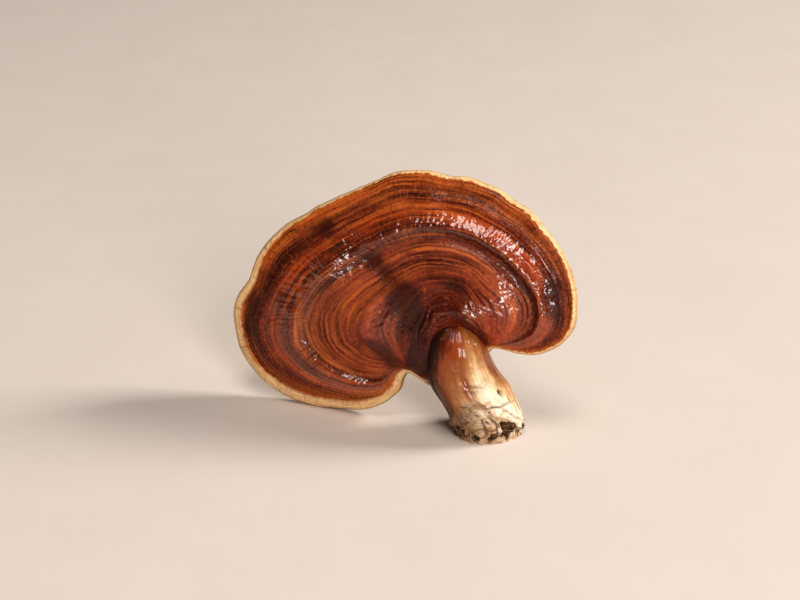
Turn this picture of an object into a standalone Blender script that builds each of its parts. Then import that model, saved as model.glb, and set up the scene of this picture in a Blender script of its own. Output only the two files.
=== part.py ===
"""Reishi mushroom: a lobed, kidney-shaped cap on a short stem that grows out of its notch.

The cap stands on edge. It rests on the flat cut at the stem's foot and on the rim of the
larger lobe, which droops behind the face. Lengths are in millimetres until they are placed.
"""
import math

import bmesh
import bpy
import numpy as np
from mathutils import Vector

OBJECT_NAME = "reishi_mushroom"
MM = 0.001

# How the cap stands: its face looks towards -Y, turned to the left and leaning back.
FACE_YAW = math.radians(18.0)
FACE_LEAN = math.radians(11.0)
HUB = Vector((-23.9, 8.2, 52.5))

# The rim seen square to the face, counter-clockwise from the right: across and up from the hub.
RIM = [
    (55.0, -2.0), (54.5, 5.0), (51.5, 13.0), (47.5, 19.5), (42.0, 25.5), (36.0, 31.0),
    (28.5, 35.0), (21.5, 38.5), (13.0, 40.5), (5.0, 40.5), (-2.5, 41.5), (-9.0, 41.0),
    (-16.5, 39.0), (-23.5, 35.0), (-30.5, 31.5), (-37.5, 27.5), (-46.0, 22.5), (-56.0, 15.5),
    (-62.5, 8.5), (-66.0, 2.0), (-68.0, -5.0), (-72.5, -11.5), (-74.5, -18.0), (-74.0, -25.5),
    (-72.0, -32.5), (-68.5, -38.5), (-62.5, -44.5), (-54.5, -48.5), (-47.0, -50.5),
    (-39.0, -51.0), (-30.0, -50.5), (-21.5, -49.0), (-14.0, -45.5), (-8.0, -40.0),
    (-6.0, -34.5), (-4.0, -32.0), (-0.5, -33.5), (5.0, -36.0), (14.0, -34.5), (21.0, -28.0),
    (25.0, -21.0), (27.0, -19.0), (30.0, -19.0), (35.5, -20.0), (41.5, -20.0), (47.0, -18.0),
    (51.5, -14.0), (54.5, -8.5),
]
CAP_SPOKES = 84
CAP_RINGS = 22
CAP_SPREAD = 1.4        # above 1 draws the mesh's rings together towards the rim
SPOKE_CROWDING = 1.2    # how much closer the spokes stand beside the stem
SPOKE_BEND = 0.27       # how far each spoke bends to meet the rim squarely
SPOKE_LOOK = 0.03       # share of the rim either way that its direction is judged by

# The middle sheet of the cap bows back from the hub, most of all in the left lobe.
SHEET_RISE = -2.7
SHEET_SLOPE = (-0.020, 0.010)
SHEET_BOW = (-0.0017, 0.0006, -0.0038)

# Thickness on each side of the middle sheet.
RIM_ROUND = 2.4
RIM_SOFTNESS = 0.14     # keeps the measured distance finite right at the rim
NOTCH_ROUND = 1.6       # added beside the stem, where the rim rolls under
NOTCH_REACH = 12.0
CORE_HALF = 6.4
THICKEN_OVER = 22.0
BUTTRESS = (13.0, -17.0, 13.0, 5.0)      # swelling of the underside behind the stem's head

# The line that the growth rings start from: left notch, stem head, right notch.
GROWTH_LINE = [(-1.0, -30.0), (14.0, -15.0), (26.0, -18.5)]
RELIEF_SPAN = 32.0      # nearer the notches the rings crowd and get lower
RELIEF_FADE = 6.0       # the relief dies out over this breadth inside the rim
# Ridges and furrows that follow the rings: where between growth line and rim, how wide, how high.
RING_RELIEF = [(0.48, 0.050, 0.7), (0.64, 0.042, -1.7), (0.71, 0.050, 1.7), (0.90, 0.030, -0.6)]
# Single swellings and hollows: middle across and up, reach across and up, turn, height.
SWELLINGS = [
    (19.0, -4.5, 7.0, 4.5, -25.0, 3.2),      # glossy hump above the stem's head
    (-2.0, -12.0, 5.5, 9.0, 25.0, -1.8),     # smooth hollow beside the stem's head
    (-15.0, 6.5, 12.0, 3.4, -28.0, -1.6),    # valley that parts the two lobes
    (-22.0, -14.0, 11.0, 12.0, 0.0, 2.8),    # middle of the left lobe
    (27.0, 1.0, 7.0, 10.0, 0.0, 1.5),        # swelling inside the furrow on the right
    (-34.0, 3.5, 5.5, 8.0, 20.0, 2.0),       # glossy bulge left of the valley
]
# The fold that wraps the top of the stem's head: middle, radius, width, height.
COLLAR = (15.5, -18.5, 12.0, 3.4, 2.2)

# The stem from head to foot: middle of each level section, half its width, half its depth.
STEM_SECTIONS = [
    (-10.8, 3.5, 43.5, 6.5, 6.5),
    (-10.6, 3.0, 38.0, 8.9, 9.0),
    (-10.2, 2.6, 34.0, 10.1, 10.2),
    (-9.6, 2.0, 28.2, 11.6, 11.2),
    (-7.8, 1.6, 22.5, 13.0, 12.0),
    (-5.6, 1.4, 18.3, 13.9, 12.3),
    (-2.3, 1.4, 11.9, 13.5, 12.5),
    (-0.1, 1.6, 6.6, 13.4, 12.7),
    (0.4, 1.7, 1.9, 13.4, 12.8),
    (0.6, 1.8, -4.0, 12.8, 12.4),
]
STEM_SIDES = 34
STEM_RINGS = 30
STEM_DOME = 0.17        # share of the length that the rounded head takes
STEM_TAIL = 0.03
STEM_FIT_GAP = 0.3

# The torn end: bark stops at a ledge, high in front and low round the back.
FOOT_FRONT = math.radians(-88.0)
LEDGE_LOW = 3.5
LEDGE_FRONT = 13.5
LEDGE_STEP = 0.6
LEDGE_SLOPE = 1.5
FOOT_INSET = 1.4
# Lumps and pits of the stem: turn in degrees, height above the floor, reach, stand-out.
STEM_LUMPS = [
    (-92.0, 13.0, 3.2, 1.1), (-66.0, 12.0, 2.6, 0.8), (-112.0, 8.5, 2.6, 0.9),
    (-80.0, 6.5, 2.4, 0.8), (-52.0, 6.0, 2.4, 0.7), (-135.0, 4.5, 2.6, 0.8),
    (-88.0, 24.5, 1.7, -0.9), (-74.0, 9.5, 1.8, -0.9), (-100.0, 5.0, 1.8, -0.8),
    (-30.0, 8.0, 4.0, 0.7), (70.0, 6.0, 4.0, 0.9), (130.0, 9.0, 5.0, 0.8),
]

CAP_COLOR = (0.16, 0.030, 0.010, 1.0)
STEM_COLOR = (0.52, 0.33, 0.17, 1.0)


def face_axes():
    """Directions across, up and out of the cap's face."""
    across = Vector((math.cos(FACE_YAW), -math.sin(FACE_YAW), 0.0))
    up = Vector((
        math.sin(FACE_LEAN) * math.sin(FACE_YAW),
        math.sin(FACE_LEAN) * math.cos(FACE_YAW),
        math.cos(FACE_LEAN),
    ))
    return across, up, across.cross(up)


def curve_through(points, closed, steps=24):
    """Points along a Catmull-Rom curve through the given rows of numbers."""
    points = np.array(points, dtype=float)
    count = len(points)
    spans = count if closed else count - 1
    rows = []
    for span in range(spans):
        picks = [span - 1, span, span + 1, span + 2]
        if closed:
            picks = [pick % count for pick in picks]
        else:
            picks = [min(max(pick, 0), count - 1) for pick in picks]
        p0, p1, p2, p3 = points[picks]
        for t in np.arange(steps) / steps:
            rows.append(0.5 * (
                2 * p1 + (p2 - p0) * t
                + (2 * p0 - 5 * p1 + 4 * p2 - p3) * t ** 2
                + (3 * p1 - p0 - 3 * p2 + p3) * t ** 3
            ))
    rows.append(points[0] if closed else points[-1])
    return np.array(rows)


def along_curve(rows, fractions, measured, crowding=1.0):
    """Rows read at fractions of the curve's length; the length uses the first columns.

    Crowding makes a stretch count as longer than it is, so that more rows fall on it.
    """
    lengths = np.linalg.norm(np.diff(rows[:, :measured], axis=0), axis=1) * crowding
    reached = np.concatenate([[0.0], np.cumsum(lengths)])
    reached /= reached[-1]
    return np.column_stack([
        np.interp(fractions, reached, rows[:, column]) for column in range(rows.shape[1])
    ])


def distance_to_line(places, line):
    """Distance from each place to a line of straight pieces, all in the face's plane."""
    line = np.array(line, dtype=float)
    nearest = np.full(len(places), np.inf)
    for start, end in zip(line[:-1], line[1:]):
        run = end - start
        share = np.clip(((places - start) @ run) / (run @ run), 0.0, 1.0)
        gaps = np.linalg.norm(places - start - share[:, None] * run, axis=1)
        nearest = np.minimum(nearest, gaps)
    return nearest


def smooth_step(values):
    values = np.clip(values, 0.0, 1.0)
    return values * values * (3.0 - 2.0 * values)


def soft_distance_to_rim(places, rim_loop):
    """Distance to the rim, smoothed where several stretches of rim are equally near.

    A straight rim at distance d pulls with a strength of pi / 2 / d ** 3, which is undone here.
    """
    starts, ends = rim_loop[:-1], rim_loop[1:]
    middles = (starts + ends) / 2
    lengths = np.linalg.norm(ends - starts, axis=1)
    squares = ((places[:, None, :] - middles[None, :, :]) ** 2).sum(axis=2) + RIM_SOFTNESS ** 2
    pull = (lengths / squares ** 2).sum(axis=1)
    return (pull * 2.0 / math.pi) ** (-1.0 / 3.0)


def swelling(places, across, up, reach_across, reach_up, turn):
    """A smooth bump of height one, at places in the face's plane."""
    cos, sin = math.cos(math.radians(turn)), math.sin(math.radians(turn))
    away = places - np.array([across, up])
    along = (away[:, 0] * cos + away[:, 1] * sin) / reach_across
    beside = (away[:, 1] * cos - away[:, 0] * sin) / reach_up
    return np.exp(-(along ** 2 + beside ** 2))


def face_relief(places, from_line, from_rim):
    """Height of the furrows, rolls and swellings on the face at places in its plane."""
    growth = from_line / np.maximum(from_line + from_rim, 0.01)
    relief = np.zeros(len(places))
    for middle, width, height in RING_RELIEF:
        relief += height * np.exp(-((growth - middle) / width) ** 2)
    relief *= np.clip((from_line + from_rim) / RELIEF_SPAN, 0.0, 1.0) ** 2
    for across, up, reach_across, reach_up, turn, height in SWELLINGS:
        relief += height * swelling(places, across, up, reach_across, reach_up, turn)
    across, up, radius, width, height = COLLAR
    away = places - np.array([across, up])
    off_ring = np.linalg.norm(away, axis=1) - radius
    upper = smooth_step(away[:, 1] / radius + 0.5)
    relief += height * upper * np.exp(-(off_ring / width) ** 2)
    return relief * smooth_step(from_rim / RELIEF_FADE)


def half_thickness(from_line, from_rim):
    """Half the cap's thickness: round at the rim, then thickening inward."""
    edge = RIM_ROUND + NOTCH_ROUND * np.exp(-(from_line / NOTCH_REACH) ** 2)
    rounding = 1.0 - np.clip(from_rim / edge, 0.0, 1.0)
    rise = 1.0 - np.exp(-np.maximum(from_rim - edge, 0.0) / THICKEN_OVER)
    return edge * np.sqrt(1.0 - rounding ** 2) + (CORE_HALF - RIM_ROUND) * rise


def spoke_elbows(rim):
    """Where each spoke from the hub bends, so that it meets the rim squarely."""
    step = max(1, round(SPOKE_LOOK * len(rim)))
    run = np.roll(rim, -step, axis=0) - np.roll(rim, step, axis=0)
    run /= np.linalg.norm(run, axis=1)[:, None]
    inward = np.column_stack([-run[:, 1], run[:, 0]])
    reach = np.linalg.norm(rim, axis=1)[:, None]
    return rim + inward * reach * SPOKE_BEND


def shape_cap(mesh_data):
    """Press a ball of unit radius into the cap's form."""
    balls = np.array([vertex.co[:] for vertex in mesh_data.verts])
    level = np.arcsin(np.clip(balls[:, 2], -1.0, 1.0)) / (math.pi / 2)
    turn = np.arctan2(balls[:, 1], balls[:, 0]) / (2 * math.pi)
    spoke = np.round(turn * CAP_SPOKES).astype(int) % CAP_SPOKES

    rim_loop = curve_through(RIM, closed=True)
    near_stem = np.exp(-(distance_to_line(rim_loop[1:], GROWTH_LINE) / NOTCH_REACH) ** 2)
    crowding = 1.0 + SPOKE_CROWDING * near_stem
    shares = np.arange(CAP_SPOKES) / CAP_SPOKES
    rim = along_curve(rim_loop, shares, measured=2, crowding=crowding)
    elbows = spoke_elbows(rim)[spoke]
    outward = 1.0 - np.abs(level)[:, None] ** CAP_SPREAD
    places = 2 * outward * (1 - outward) * elbows + outward ** 2 * rim[spoke]
    x, y = places[:, 0], places[:, 1]
    middle = SHEET_RISE + SHEET_SLOPE[0] * x + SHEET_SLOPE[1] * y
    middle += SHEET_BOW[0] * x * x + SHEET_BOW[1] * x * y + SHEET_BOW[2] * y * y

    from_line = distance_to_line(places, GROWTH_LINE)
    from_rim = soft_distance_to_rim(places, rim_loop)
    from_rim[np.abs(level) < 0.001] = 0.0
    half = half_thickness(from_line, from_rim)
    top = middle + half + face_relief(places, from_line, from_rim)
    across, up, reach, depth = BUTTRESS
    buttress = depth * swelling(places, across, up, reach, reach, 0.0) * half / CORE_HALF
    under = middle - half - buttress
    height = np.where(level > 0, top, under)

    across, up, out = face_axes()
    for vertex, place, rise in zip(mesh_data.verts, places, height):
        vertex.co = HUB + across * place[0] + up * place[1] + out * rise
        vertex.co.z = max(vertex.co.z, 0.0)


def stem_surface(turn, rows):
    """How far the stem's lumps, pits, ledge and torn end stand off its smooth form."""
    height = rows[:, 2]
    front = np.clip(np.cos(turn - FOOT_FRONT), 0.0, 1.0)
    ledge = LEDGE_LOW + LEDGE_FRONT * front ** 1.5
    below = ledge - height
    offset = -LEDGE_STEP * smooth_step(below / LEDGE_SLOPE)
    offset -= FOOT_INSET * smooth_step(below / ledge) * ledge / (LEDGE_LOW + LEDGE_FRONT)
    girth = rows[:, 3:5].mean(axis=1)
    for degrees, lump_height, reach, stand_out in STEM_LUMPS:
        apart = np.angle(np.exp(1j * (turn - math.radians(degrees)))) * girth
        offset += stand_out * np.exp(-(apart ** 2 + (height - lump_height) ** 2) / reach ** 2)
    return offset


def shape_stem(mesh_data, extra):
    """Draw a ball of unit radius out along the stem, thicker all over by extra."""
    balls = np.array([vertex.co[:] for vertex in mesh_data.verts])
    along = 0.5 - np.arcsin(np.clip(balls[:, 2], -1.0, 1.0)) / math.pi
    turn = np.arctan2(balls[:, 1], balls[:, 0])
    rows = along_curve(curve_through(STEM_SECTIONS, closed=False), along, measured=3)
    dome = np.sqrt(1.0 - (1.0 - np.clip(along / STEM_DOME, 0.0, 1.0)) ** 2)
    ends = dome * np.clip((1.0 - along) / STEM_TAIL, 0.0, 1.0)
    bulge = (stem_surface(turn, rows) + extra) * ends
    across = np.cos(turn) * (rows[:, 3] * ends + bulge)
    deep = np.sin(turn) * (rows[:, 4] * ends + bulge)
    rise = extra * (1.0 - dome)
    for vertex, row, x, y, z in zip(mesh_data.verts, rows, across, deep, rise):
        vertex.co = (row[0] + x, row[1] + y, row[2] + z)


def ball_object(name, segments, rings, shape):
    """A closed ball of the given fineness, shaped by a function and set in the scene."""
    mesh_data = bmesh.new()
    bmesh.ops.create_uvsphere(mesh_data, u_segments=segments, v_segments=rings, radius=1.0)
    shape(mesh_data)
    bmesh.ops.scale(mesh_data, vec=(MM, MM, MM), verts=mesh_data.verts)
    bmesh.ops.triangulate(mesh_data, faces=mesh_data.faces)
    bmesh.ops.recalc_face_normals(mesh_data, faces=mesh_data.faces)
    mesh = bpy.data.meshes.new(name)
    mesh_data.to_mesh(mesh)
    mesh_data.free()
    mesh.shade_smooth()
    return bpy.data.objects.new(name, mesh)


def finish_material(name, color, roughness, coat):
    material = bpy.data.materials.new(name)
    material.use_nodes = True
    shader = material.node_tree.nodes["Principled BSDF"]
    shader.inputs["Base Color"].default_value = color
    shader.inputs["Roughness"].default_value = roughness
    shader.inputs["Metallic"].default_value = 0.0
    shader.inputs["Coat Weight"].default_value = coat
    return material


def new_collection(name):
    collection = bpy.data.collections.new(name)
    bpy.context.scene.collection.children.link(collection)
    return collection


def cut_foot_flat(stem):
    """Slice the stem off flat at the floor, which leaves the face that it rests on."""
    mesh_data = bmesh.new()
    mesh_data.from_mesh(stem.data)
    everything = list(mesh_data.verts) + list(mesh_data.edges) + list(mesh_data.faces)
    cut = bmesh.ops.bisect_plane(
        mesh_data, geom=everything, plane_co=(0, 0, 0), plane_no=(0, 0, -1), clear_outer=True)
    edges = [piece for piece in cut["geom_cut"] if isinstance(piece, bmesh.types.BMEdge)]
    bmesh.ops.contextual_create(mesh_data, geom=edges)
    bmesh.ops.recalc_face_normals(mesh_data, faces=mesh_data.faces)
    mesh_data.to_mesh(stem.data)
    mesh_data.free()


def main():
    for item in list(bpy.data.objects):
        bpy.data.objects.remove(item, do_unlink=True)
    parts = new_collection(OBJECT_NAME)
    cutters = new_collection("cutters")

    cap = ball_object("cap", CAP_SPOKES, CAP_RINGS * 2, shape_cap)
    cap.data.materials.append(finish_material("lacquered_cap", CAP_COLOR, 0.35, 0.8))
    parts.objects.link(cap)

    stem = ball_object("stem", STEM_SIDES, STEM_RINGS, lambda data: shape_stem(data, 0.0))
    stem.data.materials.append(finish_material("stem_bark", STEM_COLOR, 0.55, 0.2))
    parts.objects.link(stem)
    cut_foot_flat(stem)

    socket = ball_object(
        "stem_socket", STEM_SIDES, STEM_RINGS, lambda data: shape_stem(data, STEM_FIT_GAP))
    socket.hide_render = True
    socket.display_type = "WIRE"
    cutters.objects.link(socket)
    notch = cap.modifiers.new("notch_for_stem", "BOOLEAN")
    notch.operation = "DIFFERENCE"
    notch.solver = "EXACT"
    notch.object = socket


main()
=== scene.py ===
# Reishi mushroom: finish, fine forms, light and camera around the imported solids.
# Forms are worked out in millimetres and become metres when a mesh is made.
import math

import bmesh
import bpy
import numpy as np
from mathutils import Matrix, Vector


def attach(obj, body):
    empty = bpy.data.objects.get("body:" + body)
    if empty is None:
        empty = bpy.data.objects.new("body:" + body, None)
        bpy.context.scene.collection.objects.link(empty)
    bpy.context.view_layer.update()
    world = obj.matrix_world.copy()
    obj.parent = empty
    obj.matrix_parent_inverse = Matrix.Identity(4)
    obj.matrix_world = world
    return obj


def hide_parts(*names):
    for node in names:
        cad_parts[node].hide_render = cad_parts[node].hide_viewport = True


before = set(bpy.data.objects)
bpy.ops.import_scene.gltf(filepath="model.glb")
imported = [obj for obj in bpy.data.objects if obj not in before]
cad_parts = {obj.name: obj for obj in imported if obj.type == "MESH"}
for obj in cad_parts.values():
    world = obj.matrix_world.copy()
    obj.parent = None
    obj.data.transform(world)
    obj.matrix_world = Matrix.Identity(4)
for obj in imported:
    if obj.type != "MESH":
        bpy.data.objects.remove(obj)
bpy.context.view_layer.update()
mm = 0.001
print("frame loaded:", ", ".join(sorted(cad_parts)))

capShape = {  # the cap's form, as in the solid
    "yaw": 18.0, "lean": 11.0, "hub": (-23.9, 8.2, 52.5),
    "rim": [
        (55.0, -2.0), (54.5, 5.0), (51.5, 13.0), (47.5, 19.5), (42.0, 25.5), (36.0, 31.0),
        (28.5, 35.0), (21.5, 38.5), (13.0, 40.5), (5.0, 40.5), (-2.5, 41.5), (-9.0, 41.0),
        (-16.5, 39.0), (-23.5, 35.0), (-30.5, 31.5), (-37.5, 27.5), (-46.0, 22.5),
        (-56.0, 15.5), (-62.5, 8.5), (-66.0, 2.0), (-68.0, -5.0), (-72.5, -11.5),
        (-74.5, -18.0), (-74.0, -25.5), (-72.0, -32.5), (-68.5, -38.5), (-62.5, -44.5),
        (-54.5, -48.5), (-47.0, -50.5), (-39.0, -51.0), (-30.0, -50.5), (-21.5, -49.0),
        (-14.0, -45.5), (-8.0, -40.0), (-6.0, -34.5), (-4.0, -32.0), (-0.5, -33.5),
        (5.0, -36.0), (14.0, -34.5), (21.0, -28.0), (25.0, -21.0), (27.0, -19.0),
        (30.0, -19.0), (35.5, -20.0), (41.5, -20.0), (47.0, -18.0), (51.5, -14.0),
        (54.5, -8.5),
    ],
    "crowding": 1.2, "bend": 0.27, "look": 0.03,
    "rise": -2.7, "slope": (-0.020, 0.010), "bow": (-0.0017, 0.0006, -0.0038),
    "rimRound": 2.4, "rimSoftness": 0.14, "notchRound": 1.6, "notchReach": 12.0,
    "coreHalf": 6.4, "thickenOver": 22.0, "buttress": (13.0, -17.0, 13.0, 5.0),
    "growthLine": [(-1.0, -30.0), (14.0, -15.0), (26.0, -18.5)],
    "reliefSpan": 32.0, "reliefFade": 6.0,
    # furrows and rolls along the rings: place between growth line and rim, width, height
    "rolls": [(0.48, 0.050, 0.7), (0.64, 0.036, -1.7), (0.705, 0.048, 1.8),
              (0.85, 0.026, 0.3), (0.912, 0.024, -0.7)],
    "swellings": [  # across, up, reach across, reach up, turn, height
        (19.0, -4.5, 7.0, 4.5, -25.0, 3.2),
        (-2.0, -12.0, 5.5, 9.0, 25.0, -1.8),
        (-15.0, 6.5, 12.0, 3.4, -28.0, -1.6),
        (-22.0, -14.0, 11.0, 12.0, 0.0, 2.8),
        (27.0, 1.0, 7.0, 10.0, 0.0, 1.5),
        (-34.0, 3.5, 5.5, 8.0, 20.0, 2.0),
        (-30.0, 0.5, 8.0, 6.5, 20.0, 1.5),
    ],
    "collar": (15.5, -18.5, 12.0, 3.4, 2.2),
}

capDetail = {  # fine relief that the solid is too coarse for
    "spokes": 720, "faceRings": 113, "poreRings": 20,
    "faceSpread": 1.35, "poreSpread": 2.2,
    "scallops": [(6.5, 0.34), (2.6, 0.12)],          # length along the rim, height
    "ringRidges": [(0.060, 30.0, 0.20), (0.024, 22.0, 0.09)],  # step in growth, length, height
    "pleats": [(1.9, 9.0, 1.0), (4.6, 5.0, 0.65)],  # width, lengths per growth, height
    "pleatBand": (0.64, 0.675, 0.76, 0.83),
    "crumple": (2.6, 1.15),                          # cell size, height
    "crumplePatches": [  # across, up, reach across, reach up, turn, strength
        (-28.5, 6.5, 10.0, 6.0, 30.0, 1.1), (32.0, 0.5, 7.0, 10.0, 0.0, 0.9),
        (-12.0, -11.0, 7.0, 14.0, 15.0, 0.8), (43.0, 6.0, 5.0, 10.0, 20.0, 0.8),
        (22.0, -4.0, 5.0, 4.0, 0.0, 0.5),
    ],
    "collarFolds": (10.0, 19.0, 2.7, 0.42),          # from and to radius round the stem, step, height
    "lumps": (8.0, 0.45),
    "sweepStretch": 0.30,                            # draws marks across the rings out longer
    "marginLines": (0.95, 0.10, 4.0),                # spacing, height, breadth from the rim
}

stemShape = {  # the stem's form, as in the solid
    "sections": [  # middle of each level section, half its width, half its depth
        (-10.8, 3.5, 43.5, 6.5, 6.5), (-10.6, 3.0, 38.0, 8.9, 9.0),
        (-10.2, 2.6, 34.0, 10.1, 10.2), (-9.6, 2.0, 28.2, 11.6, 11.2),
        (-7.8, 1.6, 22.5, 13.0, 12.0), (-5.6, 1.4, 18.3, 13.9, 12.3),
        (-2.3, 1.4, 11.9, 13.5, 12.5), (-0.1, 1.6, 6.6, 13.4, 12.7),
        (0.4, 1.7, 1.9, 13.4, 12.8), (0.6, 1.8, -4.0, 12.8, 12.4),
    ],
    "dome": 0.17,
    "footFront": -88.0, "ledgeLow": 3.5, "ledgeFront": 13.5,
    "ledgeStep": 0.6, "ledgeSlope": 1.5, "footInset": 1.4,
    "lumps": [  # turn in degrees, height, reach, stand-out
        (-92.0, 13.0, 3.2, 1.1), (-66.0, 12.0, 2.6, 0.8), (-112.0, 8.5, 2.6, 0.9),
        (-80.0, 6.5, 2.4, 0.8), (-52.0, 6.0, 2.4, 0.7), (-135.0, 4.5, 2.6, 0.8),
        (-88.0, 24.5, 1.7, -0.9), (-74.0, 9.5, 1.8, -0.9), (-100.0, 5.0, 1.8, -0.8),
        (-30.0, 8.0, 4.0, 0.7), (70.0, 6.0, 4.0, 0.9), (130.0, 9.0, 5.0, 0.8),
        (-39.0, 18.8, 1.2, -1.3),
    ],
}

stemDetail = {
    "sides": 320, "rings": 250, "soleRings": 12,
    "sweepStretch": 0.008,             # draws marks up the stem out longer
    "fibres": (1.5, 15.0, 0.10),       # width, length, height
    "swell": (9.0, 0.35),
    "ledgeWander": (4.0, 1.8), "ledgeLip": 0.12,
    "flesh": [(3.4, 0.55), (1.3, 0.30)],  # crumb size, height
    "tornEnd": (2.5, 9.0, 1.1),        # height at the sides, more at the front, step in
    "clods": [(4.2, 1.3), (1.6, 0.5)],  # lumps of torn flesh: size, height
    "stains": [  # turn in degrees, height, reach round, reach up, strength
        (-39.0, 18.8, 0.9, 1.3, 1.0), (-76.0, 22.7, 3.2, 0.8, 0.6), (-84.0, 21.0, 4.0, 0.6, 0.4),
        (-60.0, 15.0, 5.0, 0.35, 0.8), (-38.0, 14.5, 5.0, 0.30, 0.7), (-30.0, 15.5, 0.4, 1.4, 0.8),
        (-24.0, 11.0, 0.35, 2.0, 0.8), (-95.0, 12.5, 0.7, 0.5, 0.9), (-112.0, 15.0, 1.6, 0.5, 0.7),
        (-86.0, 9.0, 0.7, 0.6, 1.0), (-9.0, 12.0, 0.7, 4.0, 0.8),
    ],
    "soil": [
        (-54.0, 5.4, 3.9, 3.3, 1.3), (-84.0, 2.6, 2.6, 1.8, 1.2), (-141.0, 4.4, 2.2, 2.2, 1.1),
        (-110.0, 1.8, 2.6, 1.3, 1.0), (-12.0, 4.0, 1.6, 5.0, 0.8), (60.0, 3.0, 9.0, 3.0, 1.1),
        (135.0, 3.5, 8.0, 3.0, 1.1), (20.0, 3.0, 4.0, 2.5, 1.0),
    ],
    "soilCrumbs": (1.0, 1.5),
}


def curveThrough(points, closed, steps=24):
    points = np.array(points, dtype=float)
    count = len(points)
    rows = []
    for span in range(count if closed else count - 1):
        picks = [span - 1, span, span + 1, span + 2]
        if closed:
            picks = [pick % count for pick in picks]
        else:
            picks = [min(max(pick, 0), count - 1) for pick in picks]
        p0, p1, p2, p3 = points[picks]
        for t in np.arange(steps) / steps:
            rows.append(0.5 * (2 * p1 + (p2 - p0) * t + (2 * p0 - 5 * p1 + 4 * p2 - p3) * t ** 2
                               + (3 * p1 - p0 - 3 * p2 + p3) * t ** 3))
    rows.append(points[0] if closed else points[-1])
    return np.array(rows)


def alongCurve(rows, fractions, measured, crowding=1.0):
    lengths = np.linalg.norm(np.diff(rows[:, :measured], axis=0), axis=1) * crowding
    reached = np.concatenate([[0.0], np.cumsum(lengths)])
    reached /= reached[-1]
    return np.column_stack([
        np.interp(fractions, reached, rows[:, column]) for column in range(rows.shape[1])])


def distanceToLine(places, line):
    line = np.array(line, dtype=float)
    nearest = np.full(len(places), np.inf)
    for start, end in zip(line[:-1], line[1:]):
        run = end - start
        share = np.clip(((places - start) @ run) / (run @ run), 0.0, 1.0)
        nearest = np.minimum(nearest, np.linalg.norm(places - start - share[:, None] * run, axis=1))
    return nearest


def smoothStep(values):
    values = np.clip(values, 0.0, 1.0)
    return values * values * (3.0 - 2.0 * values)


def band(values, start, full, end, gone):  # 0 outside, 1 from full to end
    return smoothStep((values - start) / (full - start)) * (1 - smoothStep((values - end) / (gone - end)))


def swelling(places, across, up, reachAcross, reachUp, turn):
    cos, sin = math.cos(math.radians(turn)), math.sin(math.radians(turn))
    away = places - np.array([across, up])
    along = (away[:, 0] * cos + away[:, 1] * sin) / reachAcross
    beside = (away[:, 1] * cos - away[:, 0] * sin) / reachUp
    return np.exp(-(along ** 2 + beside ** 2))


def softNoise(u, v, seed, wrap=0):  # smooth, from -1 to 1; wrap is the whole number of cells round u
    size = 256
    table = np.random.default_rng(seed).uniform(-1.0, 1.0, (size, size))
    columns, rows = np.floor(u).astype(int), np.floor(v).astype(int)
    fadeU, fadeV = smoothStep(u - columns), smoothStep(v - rows)
    nextColumns = columns + 1
    if wrap:
        columns, nextColumns = columns % wrap, nextColumns % wrap
    columns, nextColumns = columns % size, nextColumns % size
    rows, nextRows = rows % size, (rows + 1) % size
    low = table[rows, columns] * (1 - fadeU) + table[rows, nextColumns] * fadeU
    high = table[nextRows, columns] * (1 - fadeU) + table[nextRows, nextColumns] * fadeU
    return low * (1 - fadeV) + high * fadeV


def creases(u, v, seed, wrap=0):  # sharp valleys where the noise crosses nought, 0 in them
    return np.sqrt(np.abs(softNoise(u, v, seed, wrap)))


def faceAxes():
    yaw, lean = math.radians(capShape["yaw"]), math.radians(capShape["lean"])
    across = np.array([math.cos(yaw), -math.sin(yaw), 0.0])
    up = np.array([math.sin(lean) * math.sin(yaw), math.sin(lean) * math.cos(yaw), math.cos(lean)])
    return across, up, np.cross(across, up)


def ballMesh(name, rows, attributes, materials, faceMaterials=None):
    # rows of points from one pole to the other; the first and last row are drawn to a point
    rings, count = rows.shape[0] - 2, rows.shape[1]
    points = np.vstack([rows[0, :1], rows[1:-1].reshape(-1, 3), rows[-1, :1]]) * mm
    turnOn = (np.arange(count) + 1) % count
    faces, tone = [], []
    first = 1 + np.arange(count)
    for a, b in zip(first, first[turnOn]):
        faces.append((0, a, b))
        tone.append(0)
    for ring in range(rings - 1):
        upper = 1 + ring * count + np.arange(count)
        lower = upper + count
        quads = np.column_stack([upper, lower, lower[turnOn], upper[turnOn]])
        faces.extend(map(tuple, quads.tolist()))
        tone.extend([ring + 1] * count)
    last = 1 + (rings - 1) * count + np.arange(count)
    end = len(points) - 1
    for a, b in zip(last, last[turnOn]):
        faces.append((a, end, b))
        tone.append(rings)
    mesh = bpy.data.meshes.new(name)
    mesh.from_pydata(points.tolist(), [], faces)
    for key, values in attributes.items():
        flat = np.concatenate([values[0, :1], values[1:-1].reshape(-1, *values.shape[2:]), values[-1, :1]])
        if flat.ndim == 1:
            mesh.attributes.new(key, "FLOAT", "POINT").data.foreach_set("value", flat.astype(np.float32))
        else:
            mesh.attributes.new(key, "FLOAT_VECTOR", "POINT").data.foreach_set(
                "vector", flat.astype(np.float32).ravel())
    for material in materials:
        mesh.materials.append(material)
    if faceMaterials is not None:
        mesh.polygons.foreach_set("material_index", np.array(faceMaterials)[tone].astype(np.int32))
    mesh.shade_smooth()
    piece = bpy.data.objects.new(name, mesh)
    bpy.context.scene.collection.objects.link(piece)
    tidy = bmesh.new()
    tidy.from_mesh(mesh)
    bmesh.ops.recalc_face_normals(tidy, faces=tidy.faces)
    tidy.to_mesh(mesh)
    tidy.free()
    return piece


# Cap

def spokeElbows(rim):
    step = max(1, round(capShape["look"] * len(rim)))
    run = np.roll(rim, -step, axis=0) - np.roll(rim, step, axis=0)
    run /= np.linalg.norm(run, axis=1)[:, None]
    inward = np.column_stack([-run[:, 1], run[:, 0]])
    reach = np.linalg.norm(rim, axis=1)[:, None]
    return rim + inward * reach * capShape["bend"], -inward


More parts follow.
